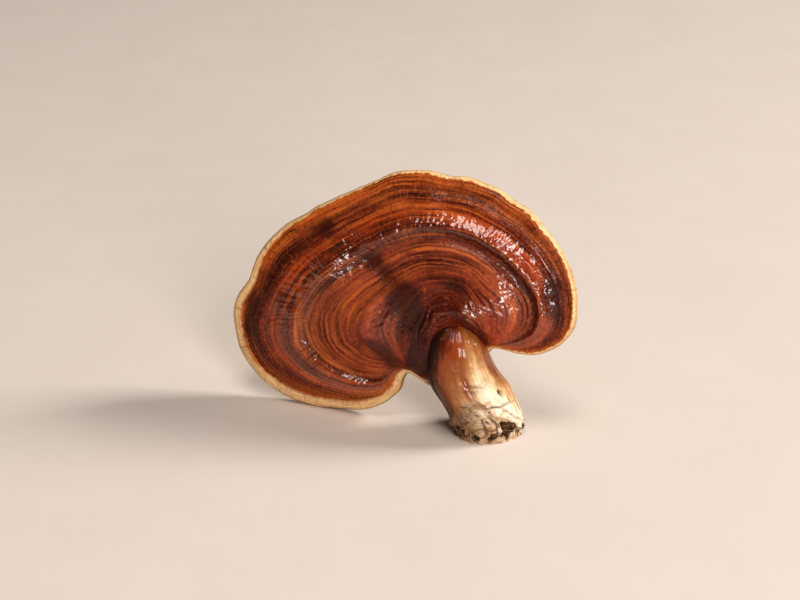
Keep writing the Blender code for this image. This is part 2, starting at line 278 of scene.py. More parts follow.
def softDistanceToRim(places, rimLoop):
    starts, ends = rimLoop[:-1], rimLoop[1:]
    middles, lengths = (starts + ends) / 2, np.linalg.norm(ends - starts, axis=1)
    found = []
    for some in np.array_split(places, max(1, len(places) // 1000)):
        across = some[:, None, 0] - middles[None, :, 0]
        up = some[:, None, 1] - middles[None, :, 1]
        squares = across * across + up * up + capShape["rimSoftness"] ** 2
        found.append((lengths / (squares * squares)).sum(axis=1))
    return (np.concatenate(found) * 2.0 / math.pi) ** (-1.0 / 3.0)


def faceRelief(places, growth, span, fromRim):
    relief = np.zeros(len(places))
    for middle, width, height in capShape["rolls"]:
        relief += height * np.exp(-((growth - middle) / width) ** 2)
    relief *= clearOfNotches(span)
    for across, up, reachAcross, reachUp, turn, height in capShape["swellings"]:
        relief += height * swelling(places, across, up, reachAcross, reachUp, turn)
    across, up, radius, width, height = capShape["collar"]
    away = places - np.array([across, up])
    offRing = np.linalg.norm(away, axis=1) - radius
    upper = smoothStep(away[:, 1] / radius + 0.5)
    relief += height * upper * np.exp(-(offRing / width) ** 2)
    return relief * smoothStep(fromRim / capShape["reliefFade"])


def halfThickness(fromLine, fromRim):
    edge = capShape["rimRound"] + capShape["notchRound"] * np.exp(-(fromLine / capShape["notchReach"]) ** 2)
    rounding = 1.0 - np.clip(fromRim / edge, 0.0, 1.0)
    rise = 1.0 - np.exp(-np.maximum(fromRim - edge, 0.0) / capShape["thickenOver"])
    return edge * np.sqrt(1.0 - rounding ** 2) + (capShape["coreHalf"] - capShape["rimRound"]) * rise


def clearOfNotches(span):
    return np.clip(span / capShape["reliefSpan"], 0.0, 1.0) ** 2


def fineFaceRelief(places, growth, span, fromRim, around, length, outward):
    detail = capDetail
    calm = clearOfNotches(span) * smoothStep(fromRim / 3.0)
    relief = np.zeros(len(places))
    for seed, (step, reach, height) in enumerate(detail["ringRidges"]):
        cells = round(length / reach)
        wander = 0.35 * softNoise(around / length * cells * 2, growth * 6, 40 + seed, cells * 2)
        relief += height * softNoise(around / length * cells, growth / step + wander, 20 + seed, cells)
    pleated = band(growth, *detail["pleatBand"]) * (0.55 + 0.45 * softNoise(
        around / length * 18, growth * 9, 30, 18))
    for seed, (width, perGrowth, height) in enumerate(detail["pleats"]):
        cells = round(length / width)
        sway = 0.8 * softNoise(around / length * cells / 4, growth * 16, 50 + seed)
        relief += height * pleated * (creases(
            around / length * cells + sway, growth * perGrowth, 31 + seed, cells) - 0.6)
    size, height = detail["crumple"]
    rumpled = np.zeros(len(places))
    for across, up, reachAcross, reachUp, turn, strength in detail["crumplePatches"]:
        rumpled = np.maximum(rumpled, strength * swelling(places, across, up, reachAcross, reachUp, turn))
    u, v = places[:, 0] / size, places[:, 1] / size
    wander = softNoise(u / 2, v / 2, 60)
    relief += height * rumpled * (creases(u + wander, v - wander, 61) - 0.6)
    relief += 0.4 * height * rumpled * (creases(u * 2.1 - wander, v * 2.1 + wander, 62) - 0.6)
    across, up = capShape["collar"][:2]
    low, high, step, height = detail["collarFolds"]
    away = np.hypot(places[:, 0] - across, places[:, 1] - up)
    wander = 1.3 * softNoise(places[:, 0] / 6.0, places[:, 1] / 6.0, 65)
    folds = band(away, low, low + 1.5, high - 3.0, high) * smoothStep((places[:, 1] - up) / 6.0 + 0.5)
    relief += height * folds * np.sin(2 * math.pi * (away / step + wander)) * smoothStep(fromRim / 4.0) / np.maximum(
        clearOfNotches(span), 0.2)
    size, height = detail["lumps"]
    relief += height * softNoise(places[:, 0] / size, places[:, 1] / size, 63) * smoothStep(outward * 3)
    relief *= calm
    spacing, height, breadth = detail["marginLines"]
    wander = 0.6 * softNoise(around / length * 60, fromRim, 64, 60)
    relief += height * np.sin(2 * math.pi * (fromRim / spacing + wander)) * band(
        fromRim, 0.2, 0.9, breadth * 0.6, breadth)
    return relief


def makeCap(materials):
    detail = capDetail
    rimLoop = curveThrough(capShape["rim"], closed=True)
    nearStem = np.exp(-(distanceToLine(rimLoop[1:], capShape["growthLine"]) / capShape["notchReach"]) ** 2)
    shares = np.arange(detail["spokes"]) / detail["spokes"]
    rimLength = np.linalg.norm(np.diff(rimLoop, axis=0), axis=1).sum()
    measured = np.column_stack([rimLoop, np.concatenate(
        [[0.0], np.cumsum(np.linalg.norm(np.diff(rimLoop, axis=0), axis=1))])])
    rim = alongCurve(measured, shares, measured=2, crowding=1.0 + capShape["crowding"] * nearStem)
    rim, aroundRim = rim[:, :2], rim[:, 2]
    elbows, outwards = spokeElbows(rim)

    onFace = 1 - (1 - np.arange(detail["faceRings"] + 1) / detail["faceRings"]) ** detail["faceSpread"]
    onPores = 1 - (1 - np.arange(detail["poreRings"])[::-1] / detail["poreRings"]) ** detail["poreSpread"]
    outward = np.concatenate([onFace, onPores])
    isFace = np.arange(len(outward)) <= detail["faceRings"]
    shape = (len(outward), detail["spokes"])
    o = outward[:, None, None]
    places = 2 * o * (1 - o) * elbows[None] + o ** 2 * rim[None]
    places = places.reshape(-1, 2)
    around = np.broadcast_to(aroundRim, shape).ravel()
    out = np.repeat(outward, detail["spokes"])

    x, y = places[:, 0], places[:, 1]
    middle = capShape["rise"] + capShape["slope"][0] * x + capShape["slope"][1] * y
    middle += capShape["bow"][0] * x * x + capShape["bow"][1] * x * y + capShape["bow"][2] * y * y
    fromLine = distanceToLine(places, capShape["growthLine"])
    fromRim = softDistanceToRim(places, rimLoop)
    fromRim[out > 0.99999] = 0.0
    span = fromLine + fromRim
    growth = fromLine / np.maximum(span, 0.01)
    half = halfThickness(fromLine, fromRim)
    top = middle + half + faceRelief(places, growth, span, fromRim)
    top += fineFaceRelief(places, growth, span, fromRim, around, rimLength, out)
    across, up, reach, depth = capShape["buttress"]
    under = middle - half - depth * swelling(places, across, up, reach, reach, 0.0) * half / capShape["coreHalf"]
    under += 0.5 * softNoise(x / 11.0, y / 11.0, 70) * smoothStep(fromRim / 8.0)
    face = np.repeat(isFace, detail["spokes"])
    height = np.where(face, top, under)

    push = np.zeros(len(places))
    for seed, (reach, stand) in enumerate(detail["scallops"]):
        cells = round(rimLength / reach)
        push += stand * softNoise(around / rimLength * cells, np.zeros(len(around)) + 0.5, 80 + seed, cells)
    push *= np.exp(-fromRim / 3.0) * (1 - nearNotch(places))
    places = places + push[:, None] * np.tile(outwards, (shape[0], 1))

    acrossAxis, upAxis, outAxis = faceAxes()
    points = np.array(capShape["hub"]) + places[:, :1] * acrossAxis + places[:, 1:] * upAxis
    points = points + height[:, None] * outAxis
    points[:, 2] = np.maximum(points[:, 2], 0.0)
    turn = around / rimLength * 2 * math.pi
    sweep = np.column_stack([np.cos(turn), np.sin(turn), growth * capDetail["sweepStretch"]])
    stations, breadths = zip(*lacquerLook["margin"])
    attributes = {
        "growth": growth.reshape(shape), "fromRim": fromRim.reshape(shape),
        "sweep": sweep.reshape(*shape, 3),
        "margin": np.interp(around / rimLength, stations, breadths).reshape(shape),
        "wet": wetness(places, growth).reshape(shape),
        "ringed": (smoothStep((growth - 0.34) / 0.13) * clearOfNotches(span)).reshape(shape),
        # tone: painted shade and painted light from the tones table, with some of the cap's own tone
        "tone": sum(patch[5] * swelling(places, *patch[:5]) for patch in lacquerLook["tones"]).reshape(shape),
    }
    poreSide = (np.arange(len(outward) - 1) >= detail["faceRings"] + 1).astype(int)
    return ballMesh("reishi_cap", points.reshape(*shape, 3), attributes, materials, poreSide)


def wetness(places, growth):
    stations, gloss = zip(*lacquerLook["gloss"])
    wet = np.interp(growth, stations, gloss)
    for patch in lacquerLook["wetPatches"]:
        wet = np.maximum(wet, swelling(places, *patch))
    return wet


def nearNotch(places):
    return np.exp(-(distanceToLine(places, capShape["growthLine"]) / 7.0) ** 2)


# Stem

def spots(turn, height, girth, listed):
    found = np.zeros(len(turn))
    for degrees, spotHeight, around, upward, strength in listed:
        apart = np.angle(np.exp(1j * (turn - math.radians(degrees)))) * girth
        found = np.maximum(found, strength * np.exp(-(apart / around) ** 2 - ((height - spotHeight) / upward) ** 2))
    return found


def stemSurface(turn, rows):
    shape, detail = stemShape, stemDetail
    height = rows[:, 2]
    girth = rows[:, 3:5].mean(axis=1)
    front = np.clip(np.cos(turn - math.radians(shape["footFront"])), 0.0, 1.0)
    circle = 2 * math.pi * 13.0
    share = turn / (2 * math.pi) + 0.5

    def roundNoise(width, length, seed, kind=softNoise):
        cells = round(circle / width)
        return kind(share * cells, height / length, seed, cells)

    size, wander = detail["ledgeWander"]
    ledge = shape["ledgeLow"] + shape["ledgeFront"] * front ** 1.5
    below = ledge + wander * roundNoise(size, 9.0, 90) + 0.4 * wander * roundNoise(size / 3, 3.0, 97) - height
    offset = -shape["ledgeStep"] * smoothStep(below / shape["ledgeSlope"])
    offset -= shape["footInset"] * smoothStep(below / ledge) * ledge / (shape["ledgeLow"] + shape["ledgeFront"])
    offset += detail["ledgeLip"] * np.exp(-(below / 0.8) ** 2) * (below < 0)
    for degrees, lumpHeight, reach, standOut in shape["lumps"]:
        apart = np.angle(np.exp(1j * (turn - math.radians(degrees)))) * girth
        offset += standOut * np.exp(-(apart ** 2 + (height - lumpHeight) ** 2) / reach ** 2)
    bare = smoothStep(below / 1.2)
    for seed, (size, stand) in enumerate(detail["flesh"]):
        offset += stand * bare * (roundNoise(size, size, 91 + seed, creases) - 0.65)
    low, more, step = detail["tornEnd"]
    deep = low + more * front ** 2 + 1.1 * roundNoise(4.5, 30.0, 98) - height
    torn = smoothStep(deep / 0.9)
    offset -= step * torn * 0.5
    for seed, (size, stand) in enumerate(detail["clods"]):
        offset += stand * torn * (roundNoise(size, size * 0.9, 100 + seed, creases) - 0.6)
    soil = spots(turn, height, girth, detail["soil"]) + 0.55 * roundNoise(1.6, 1.6, 104) - 0.25
    soil = smoothStep((soil - 0.25) / 0.25)
    size, stand = detail["soilCrumbs"]
    offset += stand * soil * (roundNoise(size, size, 105, creases) - 0.75)
    width, length, stand = detail["fibres"]
    offset += stand * (1 - bare) * roundNoise(width, length, 95)
    size, stand = detail["swell"]
    offset += stand * (1 - bare) * roundNoise(size, size, 96)
    stain = spots(turn, height + 0.5 * roundNoise(2.2, 2.2, 106), girth, detail["stains"])
    offset -= 0.3 * stain
    # creviceShade: painted shade in the cracks of the bare and torn flesh and along the torn edge
    creviceShade = bare * (1 - smoothStep((roundNoise(3.4, 3.4, 91, creases) - 0.10) / 0.20)) * 0.35
    creviceShade = np.maximum(creviceShade, torn * (1 - smoothStep((roundNoise(4.2, 3.8, 100, creases) - 0.20) / 0.30)))
    creviceShade = np.maximum(creviceShade, 0.8 * np.exp(-((deep + 0.2) / 0.5) ** 2) * smoothStep(roundNoise(6.0, 9.0, 107) + 0.6))
    return offset, {"below": below, "deep": deep, "soil": soil, "stain": stain, "creviceShade": creviceShade}


def makeStem(materials):
    shape, detail = stemShape, stemDetail
    rows = curveThrough(shape["sections"], closed=False)
    lengths = np.concatenate([[0.0], np.cumsum(np.linalg.norm(np.diff(rows[:, :3], axis=0), axis=1))])
    floorShare = np.interp(0.0, -rows[:, 2], lengths / lengths[-1])
    along = np.linspace(0.0, 1.0, detail["rings"]) ** 1.1 * floorShare
    middle = alongCurve(rows, along, measured=3)
    turns = np.arange(detail["sides"]) / detail["sides"] * 2 * math.pi - math.pi
    count = (len(along), len(turns))
    turn = np.tile(turns, len(along))
    row = np.repeat(middle, len(turns), axis=0)
    dome = np.sqrt(1.0 - (1.0 - np.clip(np.repeat(along, len(turns)) / shape["dome"], 0.0, 1.0)) ** 2)
    offset, marks = stemSurface(turn, row)
    bulge = offset * dome
    points = np.column_stack([
        row[:, 0] + np.cos(turn) * (row[:, 3] * dome + bulge),
        row[:, 1] + np.sin(turn) * (row[:, 4] * dome + bulge),
        row[:, 2]]).reshape(*count, 3)
    sole = points[-1][None] * 1.0
    centre = sole.mean(axis=1, keepdims=True)
    inward = (np.arange(1, detail["soleRings"] + 1) / detail["soleRings"])[:, None, None]
    points = np.concatenate([points, sole + (centre - sole) * inward])
    turnGrid = np.broadcast_to(turns, (len(points), len(turns)))
    attributes = {
        "stemHeight": points[:, :, 2] * 1.0,
        "turn": np.stack([np.cos(turnGrid), np.sin(turnGrid), points[:, :, 2] * detail["sweepStretch"]], axis=-1),
    }
    for name, values in marks.items():
        values = values.reshape(count)
        attributes[name] = np.concatenate([values, np.repeat(values[-1:], detail["soleRings"], axis=0)])
    return ballMesh("reishi_stem", points, attributes, materials)


# Shader helpers

def addNode(tree, kind, inputs=None, **settings):
    node = tree.nodes.new(kind)
    for key, value in settings.items():
        setattr(node, key, value)
    for key, value in (inputs or {}).items():
        if isinstance(value, bpy.types.NodeSocket):
            tree.links.new(value, node.inputs[key])
        else:
            node.inputs[key].default_value = value
    return node


def maths(tree, operation, a, b=0.0, c=0.0, clamp=False):
    return addNode(tree, "ShaderNodeMath", {0: a, 1: b, 2: c}, operation=operation, use_clamp=clamp).outputs[0]


def stretch(tree, value, low, high, toLow=0.0, toHigh=1.0):
    return addNode(tree, "ShaderNodeMapRange", {
        "Value": value, "From Min": low, "From Max": high, "To Min": toLow, "To Max": toHigh,
    }, interpolation_type="SMOOTHSTEP").outputs["Result"]


def blend(tree, share, first, second, how="MIX"):
    node = addNode(tree, "ShaderNodeMix", {"Factor": share, 6: first, 7: second},
                   data_type="RGBA", blend_type=how)
    return node.outputs[2]


def attribute(tree, name, output="Fac"):
    return addNode(tree, "ShaderNodeAttribute", attribute_name=name).outputs[output]


def placeInMm(tree):
    coordinates = addNode(tree, "ShaderNodeTexCoord").outputs["Object"]
    return addNode(tree, "ShaderNodeVectorMath", {0: coordinates, "Scale": 1.0 / mm}, operation="SCALE").outputs[0]


def noise(tree, place, size, detail=3.0, roughness=0.55, w=None, output="Fac", distortion=0.0):
    inputs = {"Vector": place, "Scale": 1.0 / size, "Detail": detail, "Roughness": roughness,
              "Distortion": distortion}
    if w is not None:
        inputs["W"] = w
    return addNode(tree, "ShaderNodeTexNoise", inputs,
                   noise_dimensions="3D" if w is None else "4D").outputs[output]


def ramp(tree, value, stops):
    node = addNode(tree, "ShaderNodeValToRGB", {"Fac": value})
    elements = node.color_ramp.elements
    while len(elements) < len(stops):
        elements.new(0.5)
    for element, (position, color) in zip(elements, stops):
        element.position = position
        element.color = (*color, 1.0)
    return node.outputs["Color"]


def newGroup(name, inputs, outputs):
    group = bpy.data.node_groups.new(name, "ShaderNodeTree")
    for label, kind, value in inputs:
        socket = group.interface.new_socket(label, in_out="INPUT", socket_type=kind)
        if value is not None:
            socket.default_value = value
    for label, kind in outputs:
        group.interface.new_socket(label, in_out="OUTPUT", socket_type=kind)
    return group, group.nodes.new("NodeGroupInput").outputs, group.nodes.new("NodeGroupOutput")


def useGroup(tree, group, inputs):
    node = tree.nodes.new("ShaderNodeGroup")
    node.node_tree = group
    for key, value in inputs.items():
        if isinstance(value, bpy.types.NodeSocket):
            tree.links.new(value, node.inputs[key])
        else:
            node.inputs[key].default_value = value
    return node.outputs


def newMaterial(name, constants):
    material = bpy.data.materials.new(name)
    material.use_nodes = True
    shader = material.node_tree.nodes["Principled BSDF"]
    for key, value in constants.items():
        shader.inputs[key].default_value = value
    return material, material.node_tree, shader


def makeRingLines():  # lines that follow the growth rings and wander slowly along them
    floatKind, vectorKind = "NodeSocketFloat", "NodeSocketVector"
    group, given, result = newGroup("ringLines", [
        ("Place", vectorKind, None), ("Growth", floatKind, 0.0), ("Lines", floatKind, 60.0),
        ("Reach", floatKind, 14.0), ("Contrast", floatKind, 0.2),
    ], [("Mask", floatKind)])
    scaled = addNode(group, "ShaderNodeVectorMath", {0: given["Place"], 1: given["Reach"]}, operation="DIVIDE")
    reach = addNode(group, "ShaderNodeCombineXYZ", {0: given["Reach"], 1: given["Reach"], 2: given["Reach"]})
    group.links.new(reach.outputs[0], scaled.inputs[1])
    w = maths(group, "MULTIPLY", given["Growth"], given["Lines"])
    lines = noise(group, scaled.outputs[0], 1.0, detail=2.0, roughness=0.6, w=w)
    low = maths(group, "SUBTRACT", 0.5, given["Contrast"])
    high = maths(group, "ADD", 0.5, given["Contrast"])
    node = addNode(group, "ShaderNodeMapRange", {"Value": lines, "From Min": low, "From Max": high})
    group.links.new(node.outputs["Result"], result.inputs["Mask"])
    return group


def makeFineGrain():  # small bumps and mottling
    floatKind, vectorKind = "NodeSocketFloat", "NodeSocketVector"
    group, given, result = newGroup("fineGrain", [
        ("Place", vectorKind, None), ("Size", floatKind, 1.0), ("Roughness", floatKind, 0.6),
    ], [("Height", floatKind), ("Blotches", floatKind)])
    scale = maths(group, "DIVIDE", 1.0, given["Size"])
    fine = addNode(group, "ShaderNodeTexNoise", {
        "Vector": given["Place"], "Scale": scale, "Detail": 4.0, "Roughness": given["Roughness"]})
    broad = addNode(group, "ShaderNodeTexNoise", {
        "Vector": given["Place"], "Scale": maths(group, "MULTIPLY", scale, 0.17), "Detail": 3.0})
    group.links.new(fine.outputs["Fac"], result.inputs["Height"])
    group.links.new(broad.outputs["Fac"], result.inputs["Blotches"])
    return group


lacquerLook = {
    "zones": [  # growth from stem to rim, linear colour; the near-black stop at 0.655 is painted shade in the furrow
        (0.00, (0.190, 0.026, 0.009)), (0.20, (0.170, 0.022, 0.008)),
        (0.35, (0.090, 0.010, 0.004)), (0.40, (0.120, 0.013, 0.005)),
        (0.46, (0.290, 0.044, 0.018)), (0.55, (0.390, 0.080, 0.032)),
        (0.62, (0.300, 0.062, 0.030)),
        (0.655, (0.090, 0.012, 0.006)), (0.71, (0.240, 0.028, 0.007)),
        (0.78, (0.430, 0.058, 0.009)), (0.83, (0.200, 0.024, 0.007)),
        (0.88, (0.200, 0.036, 0.015)), (0.94, (0.460, 0.096, 0.018)),
    ],
    "dark": (0.030, 0.004, 0.002), "bright": (0.78, 0.20, 0.030),
    "ochre": (0.46, 0.10, 0.012), "cream": (0.90, 0.60, 0.30), "olive": (0.22, 0.115, 0.035),
    "gloss": [  # growth, how wet the lacquer looks
        (0.00, 0.35), (0.40, 0.35), (0.47, 0.10), (0.60, 0.08), (0.65, 0.40), (0.68, 1.0),
        (0.79, 0.8), (0.85, 0.12), (1.00, 0.06),
    ],
    "wetPatches": [  # across, up, reach across, reach up, turn
        (31.0, 0.5, 6.0, 9.0, 0.0), (-13.0, -11.0, 7.0, 13.0, 15.0), (-29.0, 6.5, 9.0, 6.0, 30.0),
        (43.0, 6.0, 5.0, 11.0, 20.0), (21.0, -4.0, 7.0, 4.5, 0.0), (14.0, -6.5, 9.0, 3.0, 0.0),
    ],
    # Painted shade and light: the dark patches in the valley, the folds, the right furrow and the gap beside the stem
    # are painted shade; the light ones on the left lobe and the hump are painted light; the others are the cap's own
    # tone.
    "tones": [  # the same with a strength, dark below nought
        (-14.0, 5.5, 14.0, 4.5, -28.0, -0.8), (-4.0, -8.0, 7.0, 9.0, 20.0, -1.0),
        (-12.0, -25.0, 8.0, 4.0, -40.0, -0.7), (-22.0, -11.0, 9.0, 9.0, 0.0, 0.5),
        (-36.0, 16.0, 7.0, 5.0, -50.0, -0.35), (-66.0, -14.0, 5.0, 18.0, 0.0, -0.5),
        (22.0, -6.0, 5.0, 4.0, 0.0, 0.4), (1.0, -27.0, 5.0, 7.0, 0.0, -1.3),
        (10.0, 4.0, 9.0, 3.0, -8.0, -0.5), (-45.0, -10.0, 3.0, 16.0, 0.0, 0.5),
        (-8.0, 30.0, 22.0, 3.0, 0.0, 0.35), (47.0, 2.0, 2.5, 12.0, 12.0, -0.6),
    ],
    "dullRough": 0.55, "wetRough": 0.38,
    # breadth of the pale margin, at shares of the way round the rim from the right
    "margin": [(0.0, 1.2), (0.12, 0.9), (0.25, 0.9), (0.36, 1.3), (0.44, 3.2), (0.52, 4.2),
               (0.60, 4.8), (0.70, 4.0), (0.775, 2.4), (0.81, 1.2), (0.92, 1.3), (1.0, 1.2)],
}


def makeLacquer(groups):
    look = lacquerLook
    material, tree, shader = newMaterial("lacquered_cap", {
        "Coat Roughness": 0.09, "Coat IOR": 1.65, "Specular IOR Level": 0.12})
    place, growth, wet = placeInMm(tree), attribute(tree, "growth"), attribute(tree, "wet")
    fromRim, sweep = attribute(tree, "fromRim"), attribute(tree, "sweep", "Vector")
    tones = {name: (*look[name], 1.0) for name in ("dark", "bright", "ochre", "cream", "olive")}
    wavy = maths(tree, "MULTIPLY_ADD", noise(tree, place, 7.0, detail=3.0, roughness=0.5), 0.022, growth)

    def ringLines(lines, reach, contrast):
        return useGroup(tree, groups["ringLines"], {
            "Place": place, "Growth": wavy, "Lines": lines, "Reach": reach, "Contrast": contrast})["Mask"]

    broad, fine, thin = ringLines(17.0, 70.0, 0.20), ringLines(46.0, 60.0, 0.18), ringLines(115.0, 30.0, 0.18)
    grain = useGroup(tree, groups["fineGrain"], {"Place": place, "Size": 1.2})
    patches = noise(tree, place, 9.0, detail=3.0)
    ringed = maths(tree, "MULTIPLY", attribute(tree, "ringed"), stretch(tree, patches, 0.30, 0.60, 0.5, 1.0))
    # tone mask: the painted shade and painted light patches, broken up by mottling along the rings
    tone = maths(tree, "MULTIPLY_ADD", ringLines(9.0, 16.0, 0.36), 1.6, maths(tree, "ADD", attribute(tree, "tone"), -0.85))
    outer = stretch(tree, growth, 0.56, 0.70)
    radial = noise(tree, sweep, 0.012, detail=2.0, roughness=0.6)

    wander = maths(tree, "MULTIPLY_ADD", patches, 0.05, -0.025)
    color = ramp(tree, maths(tree, "ADD", growth, wander), look["zones"])
    breadth = attribute(tree, "margin")
    teeth = maths(tree, "SUBTRACT", noise(tree, sweep, 0.030, detail=3.0), 0.5)
    edge = maths(tree, "DIVIDE", maths(tree, "MULTIPLY_ADD", teeth, 1.6, fromRim), breadth)
    color = blend(tree, stretch(tree, edge, 2.2, 1.1), color, tones["ochre"])

    def overlay(mask, low, high, share, within, tone):
        nonlocal color
        strength = stretch(tree, mask, low, high, 0.0, share)
        color = blend(tree, maths(tree, "MULTIPLY", strength, within) if within else strength, color, tones[tone])

    overlay(broad, 0.55, 1.0, 0.70, ringed, "dark")
    overlay(broad, 0.40, 0.0, 0.25, ringed, "bright")
    overlay(fine, 0.60, 1.0, 0.50, ringed, "bright")
    overlay(fine, 0.48, 0.0, 0.90, ringed, "dark")
    overlay(thin, 0.52, 0.1, 0.80, ringed, "dark")
    overlay(thin, 0.60, 0.95, 0.40, ringed, "bright")
    overlay(radial, 0.54, 0.70, 0.14, outer, "bright")
    overlay(radial, 0.46, 0.30, 0.45, outer, "dark")
    overlay(grain["Height"], 0.54, 0.70, 0.25, None, "bright")
    overlay(grain["Height"], 0.46, 0.30, 0.45, None, "dark")
    # painted light and painted shade from the tone mask
    overlay(tone, 0.10, 0.75, 0.45, None, "bright")
    overlay(tone, -0.10, -0.75, 0.80, None, "dark")

    cream = stretch(tree, edge, 1.15, 0.70)
    layers = noise(tree, sweep, 0.12, detail=3.0, w=maths(tree, "MULTIPLY", fromRim, 1.6))
    pale = blend(tree, stretch(tree, layers, 0.48, 0.66, 0.0, 0.80), tones["cream"], tones["ochre"])
    pale = blend(tree, stretch(tree, noise(tree, sweep, 0.02, detail=2.0), 0.55, 0.75, 0.0, 0.5), pale, tones["olive"])
    pale = blend(tree, maths(tree, "MULTIPLY", stretch(tree, fromRim, 0.7, 0.1), stretch(tree, breadth, 0.9, 1.6, 0.2, 0.8)),
                 pale, tones["olive"])
    color = blend(tree, cream, color, pale)
    tree.links.new(color, shader.inputs["Base Color"])

    rough = stretch(tree, wet, 0.2, 0.9, look["dullRough"], look["wetRough"])
    tree.links.new(blend(tree, cream, rough, (0.6, 0.6, 0.6, 1.0)), shader.inputs["Roughness"])
    coat = maths(tree, "SUBTRACT", wet, cream, clamp=True)
    tree.links.new(coat, shader.inputs["Coat Weight"])
    wrinkles = maths(tree, "MULTIPLY", noise(tree, place, 1.9, detail=1.5), 0.34)
    height = maths(tree, "MULTIPLY_ADD", maths(tree, "MULTIPLY", fine, ringed), 0.05,
                   maths(tree, "MULTIPLY", grain["Height"], 0.12))
    height = maths(tree, "MULTIPLY_ADD", maths(tree, "MULTIPLY", radial, outer), 0.16, height)
    for relief, socket in ((maths(tree, "ADD", height, wrinkles), "Normal"), (wrinkles, "Coat Normal")):
        bump = addNode(tree, "ShaderNodeBump", {"Height": relief, "Strength": 1.0, "Distance": mm})
        tree.links.new(bump.outputs[0], shader.inputs[socket])
    return material


poreLook = {"tan": (0.44, 0.27, 0.13), "cream": (0.66, 0.50, 0.31), "brown": (0.15, 0.065, 0.028)}


def makePores(groups):
    look = poreLook
    material, tree, shader = newMaterial("pore_side", {"Coat Weight": 0.0, "Specular IOR Level": 0.35})
    place, fromRim, growth = placeInMm(tree), attribute(tree, "fromRim"), attribute(tree, "growth")
    tan, cream, brown = ((*look[name], 1.0) for name in ("tan", "cream", "brown"))
    grain = useGroup(tree, groups["fineGrain"], {"Place": place, "Size": 1.6})
    zones = useGroup(tree, groups["ringLines"], {
        "Place": place, "Growth": growth, "Lines": 9.0, "Reach": 45.0, "Contrast": 0.5})["Mask"]
    color = blend(tree, stretch(tree, zones, 0.15, 0.85, 0.10, 0.80), tan, cream)
    color = blend(tree, stretch(tree, grain["Blotches"], 0.55, 0.75, 0.0, 0.30), color, tan)
    color = blend(tree, stretch(tree, fromRim, 5.0, 1.5), color, (*lacquerLook["cream"], 1.0))
    color = blend(tree, stretch(tree, growth, 0.50, 0.05, 0.0, 0.70), color, brown)
    spots = noise(tree, place, 2.2, detail=3.0)
    color = blend(tree, stretch(tree, spots, 0.66, 0.76, 0.0, 0.5), color, brown)
    pores = addNode(tree, "ShaderNodeTexVoronoi", {"Vector": place, "Scale": 1.0 / 0.45}).outputs["Distance"]
    color = blend(tree, stretch(tree, pores, 0.35, 0.0, 0.0, 0.35), color, brown)
    tree.links.new(color, shader.inputs["Base Color"])
    shader.inputs["Roughness"].default_value = 0.75
    height = maths(tree, "MULTIPLY_ADD", pores, 0.16, maths(tree, "MULTIPLY", grain["Height"], 0.25))
    height = maths(tree, "MULTIPLY_ADD", zones, 0.5, height)
    bump = addNode(tree, "ShaderNodeBump", {"Height": height, "Strength": 0.8, "Distance": mm})
    tree.links.new(bump.outputs[0], shader.inputs["Normal"])
    return material


stemLook = {
    "tones": [  # level up the stem, raised on its left flank as painted shade over its own darker colour and lowered right of the middle as a painted highlight over its pale colour; linear colour
        (0.00, (0.90, 0.80, 0.66)), (0.22, (0.86, 0.68, 0.46)), (0.36, (0.70, 0.44, 0.22)),
        (0.48, (0.50, 0.22, 0.080)), (0.58, (0.36, 0.115, 0.025)), (0.70, (0.30, 0.070, 0.012)),
        (0.86, (0.33, 0.052, 0.008)), (0.97, (0.11, 0.014, 0.005)),
    ],
    "top": 46.0, "leftShadeShare": 0.42, "paleHighlightShare": 0.24,
    "flesh": (0.88, 0.72, 0.53), "tan": (0.46, 0.24, 0.10), "darkShadedFlank": (0.030, 0.009, 0.004),
    "amber": (0.30, 0.085, 0.018), "stain": (0.075, 0.024, 0.009), "soil": (0.030, 0.019, 0.013),
    "earth": (0.20, 0.105, 0.055),
}


